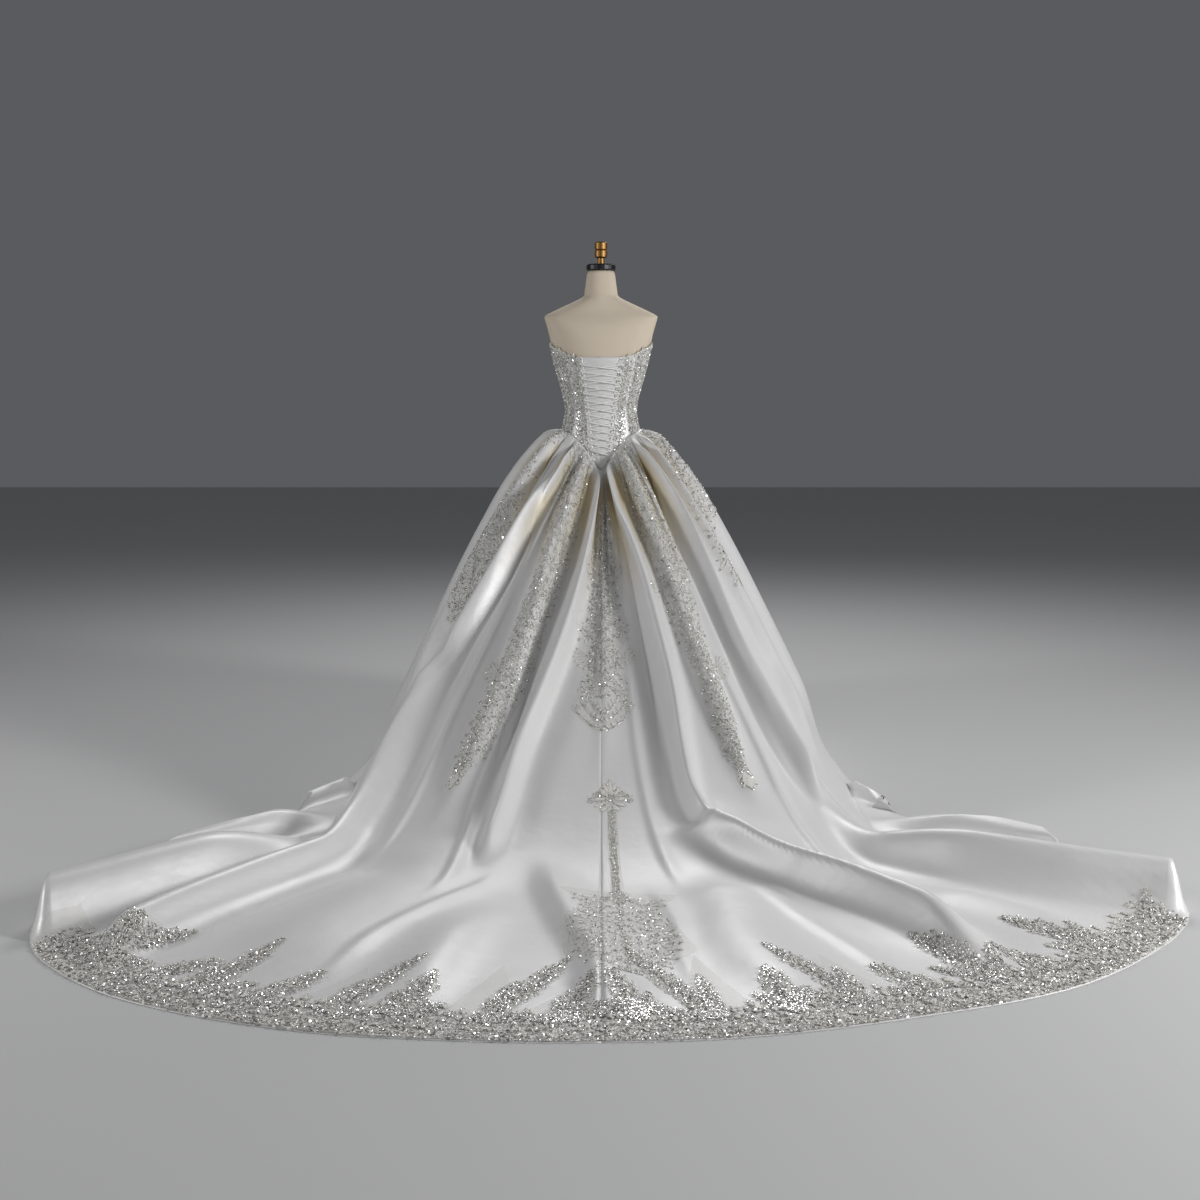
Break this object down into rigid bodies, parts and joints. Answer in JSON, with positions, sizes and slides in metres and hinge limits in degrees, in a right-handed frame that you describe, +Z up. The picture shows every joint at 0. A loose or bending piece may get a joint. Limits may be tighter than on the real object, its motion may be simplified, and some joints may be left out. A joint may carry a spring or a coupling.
{
  "type": "wedding dress on a dress form",
  "caption": "Strapless satin ball gown with a laced, beaded bodice and a long spread train, standing on a limbless dress form",
  "frame": {"origin": "on the floor under the form's pole, in the middle of the underside of the form's base", "axes": "+Z up, +Y the way the gown's front faces, -Y along the train, +X the wearer's right"},
  "size_m": [2.7202, 3.2933, 1.7036],
  "materials": {
    "satin": "ivory duchess satin, soft sheen",
    "lace": "ivory corded lace with glass beads and crystals",
    "cord": "satin lacing cord",
    "linen": "plain cream linen cover",
    "dark_metal": "dark lacquered metal",
    "brass": "polished brass"
  },
  "bodies": {
    "root": {"bodice_side_front_left": "satin", "bodice_side_back_left": "satin", "bodice_back_left": "satin", "bodice_lacing_panel": "satin", "bodice_back_right": "satin", "bodice_side_back_right": "satin", "bodice_side_front_right": "satin", "bodice_front": "satin", "skirt_side_left": "satin", "skirt_back_left": "satin", "skirt_back_right": "satin", "skirt_side_right": "satin", "skirt_front": "satin", "applique_back_left": "lace", "applique_back_right": "lace", "applique_centre_back": "lace", "applique_side_left": "lace", "applique_side_right": "lace", "applique_train_centre": "lace", "applique_hem_left": "lace", "applique_hem_right": "lace", "lacing_cord_first": "cord", "lacing_cord_second": "cord", "form_body": "linen", "form_base": "dark_metal", "form_pole": "dark_metal", "form_neck_cap": "dark_metal", "form_finial": "brass"}
  },
  "joints": []
}
